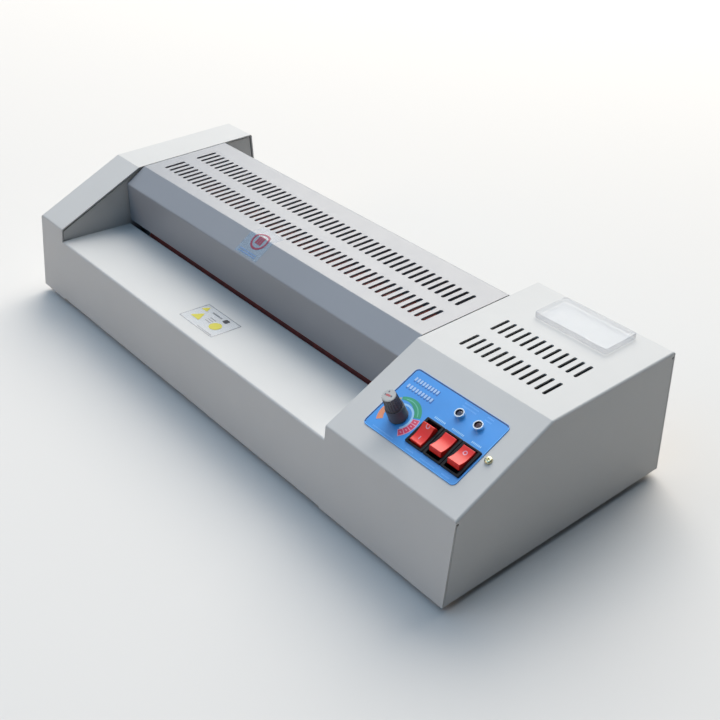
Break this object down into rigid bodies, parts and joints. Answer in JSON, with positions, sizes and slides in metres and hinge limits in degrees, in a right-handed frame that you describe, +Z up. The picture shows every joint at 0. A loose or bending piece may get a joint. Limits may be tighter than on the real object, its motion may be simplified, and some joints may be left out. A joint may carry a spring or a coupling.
{
  "type": "pouch laminator",
  "caption": "Sheet-metal desktop pouch laminator: end hoods, vented cover, feed table, geared silicone rollers, knob and rocker switches on a sloping panel.",
  "frame": {"origin": "on the table below the middle of the machine, level with the undersides of the feet", "axes": "+X along the rollers towards the control hood, -Y the feed side, +Z up"},
  "size_m": [0.5, 0.2064, 0.1092],
  "materials": {
    "case_paint": "fine satin powder coat",
    "zinc_plate": "zinc plated sheet",
    "foot_rubber": "matte",
    "screw_steel": "bright",
    "zinc_yellow": "yellow passivated",
    "bush_bronze": "sintered",
    "gear_plastic": "moulded acetal",
    "spring_steel": "blued spring steel",
    "quartz": "clear quartz",
    "ceramic": "glazed ceramic",
    "circuit_board": "green laminate",
    "core_steel": "laminated core",
    "black_plastic": "moulded",
    "pin_brass": "plated",
    "label_blue": "printed polycarbonate film",
    "knob_plastic": "moulded, fluted",
    "knob_cap": "light grey insert",
    "bezel_chrome": "polished",
    "lens_blue": "dark tinted lens",
    "lens_red": "dark tinted lens",
    "clear_acrylic": "clear acrylic",
    "rocker_red": "translucent red",
    "core_aluminium": "turned",
    "shaft_steel": "ground",
    "silicone_red": "cured silicone"
  },
  "bodies": {
    "chassis": {"base_plate": "zinc_plate", "bearing_blocks": "gear_plastic", "board_spacers": "screw_steel", "clear_badge": "clear_acrylic", "control_board": "circuit_board", "control_hood": "case_paint", "cover_brackets": "zinc_plate", "front_panel": "case_paint", "gearbox": "screw_steel", "heat_switch_housing": "black_plastic", "heater_lamps": "quartz", "idler_pin": "screw_steel", "inlet_pins": "pin_brass", "lamp_bezels": "bezel_chrome", "lamp_holders": "ceramic", "left_cheek": "case_paint", "left_frame": "zinc_plate", "left_hood": "case_paint", "machine_screws": "screw_steel", "mains_inlet": "black_plastic", "motor_bracket": "zinc_plate", "motor_can": "screw_steel", "panel_label": "label_blue", "panel_screw": "zinc_yellow", "potentiometer": "screw_steel", "pouch_guides": "zinc_plate", "power_lamp_lens": "lens_blue", "power_switch_housing": "black_plastic", "pressure_springs": "spring_steel", "ready_lamp_lens": "lens_red", "rear_panel": "case_paint", "reverse_switch_housing": "black_plastic", "right_cheek": "case_paint", "right_frame": "zinc_plate", "roller_bushes": "bush_bronze", "rubber_feet": "foot_rubber", "thermostat": "screw_steel", "tie_rods": "screw_steel", "top_cover": "case_paint", "transformer": "core_steel"},
    "lower_hot_roller": {"lower_hot_core": "core_aluminium", "lower_hot_sleeve": "silicone_red", "lower_hot_gear": "gear_plastic"},
    "upper_hot_roller": {"upper_hot_core": "core_aluminium", "upper_hot_sleeve": "silicone_red", "upper_hot_gear": "gear_plastic"},
    "lower_pull_roller": {"lower_pull_core": "shaft_steel", "lower_pull_sleeve": "silicone_red", "lower_pull_gear": "gear_plastic"},
    "upper_pull_roller": {"upper_pull_core": "shaft_steel", "upper_pull_sleeve": "silicone_red", "upper_pull_gear": "gear_plastic"},
    "idler": {"idler_gear": "gear_plastic"},
    "pinion": {"motor_pinion": "screw_steel"},
    "knob": {"knob_body": "knob_plastic", "knob_cap": "knob_cap", "pot_shaft": "screw_steel"},
    "power_rocker_body": {"power_rocker": "rocker_red"},
    "heat_rocker_body": {"heat_rocker": "rocker_red"},
    "reverse_rocker_body": {"reverse_rocker": "rocker_red"}
  },
  "joints": [
    {"name": "lower_hot_spin", "type": "hinge", "parent": "chassis", "child": "lower_hot_roller", "pos_m": [-0.04, -0.017, 0.043], "axis": [1, 0, 0], "continuous": true},
    {"name": "upper_hot_spin", "type": "hinge", "parent": "chassis", "child": "upper_hot_roller", "pos_m": [-0.04, -0.017, 0.069], "axis": [1, 0, 0], "continuous": true},
    {"name": "lower_pull_spin", "type": "hinge", "parent": "chassis", "child": "lower_pull_roller", "pos_m": [-0.04, 0.033, 0.043], "axis": [1, 0, 0], "continuous": true},
    {"name": "upper_pull_spin", "type": "hinge", "parent": "chassis", "child": "upper_pull_roller", "pos_m": [-0.04, 0.033, 0.069], "axis": [1, 0, 0], "continuous": true},
    {"name": "idler_spin", "type": "hinge", "parent": "chassis", "child": "idler", "pos_m": [-0.04, 0.008, 0.043], "axis": [1, 0, 0], "continuous": true},
    {"name": "pinion_spin", "type": "hinge", "parent": "chassis", "child": "pinion", "pos_m": [-0.04, 0.05119, 0.0325], "axis": [1, 0, 0], "continuous": true},
    {"name": "knob_turn", "type": "hinge", "parent": "chassis", "child": "knob", "pos_m": [0.1683, -0.06732, 0.08352], "axis": [0, -0.4089, 0.9126], "range_deg": [-235, 35]},
    {"name": "power_rock", "type": "hinge", "parent": "chassis", "child": "power_rocker_body", "pos_m": [0.1926, -0.06603, 0.07989], "axis": [1, 0, 0], "range_deg": [-20.5, 0]},
    {"name": "heat_rock", "type": "hinge", "parent": "chassis", "child": "heat_rocker_body", "pos_m": [0.208, -0.06603, 0.07989], "axis": [1, 0, 0], "range_deg": [0, 20.5]},
    {"name": "reverse_rock", "type": "hinge", "parent": "chassis", "child": "reverse_rocker_body", "pos_m": [0.2234, -0.06603, 0.07989], "axis": [1, 0, 0], "range_deg": [0, 20.5]}
  ],
  "couplings": [
    {"joint": "upper_hot_spin", "follows": "lower_hot_spin", "ratio": -1},
    {"joint": "idler_spin", "follows": "lower_hot_spin", "ratio": -1.0833},
    {"joint": "lower_pull_spin", "follows": "lower_hot_spin", "ratio": 1},
    {"joint": "upper_pull_spin", "follows": "lower_hot_spin", "ratio": -1},
    {"joint": "pinion_spin", "follows": "lower_hot_spin", "ratio": -1.625}
  ]
}
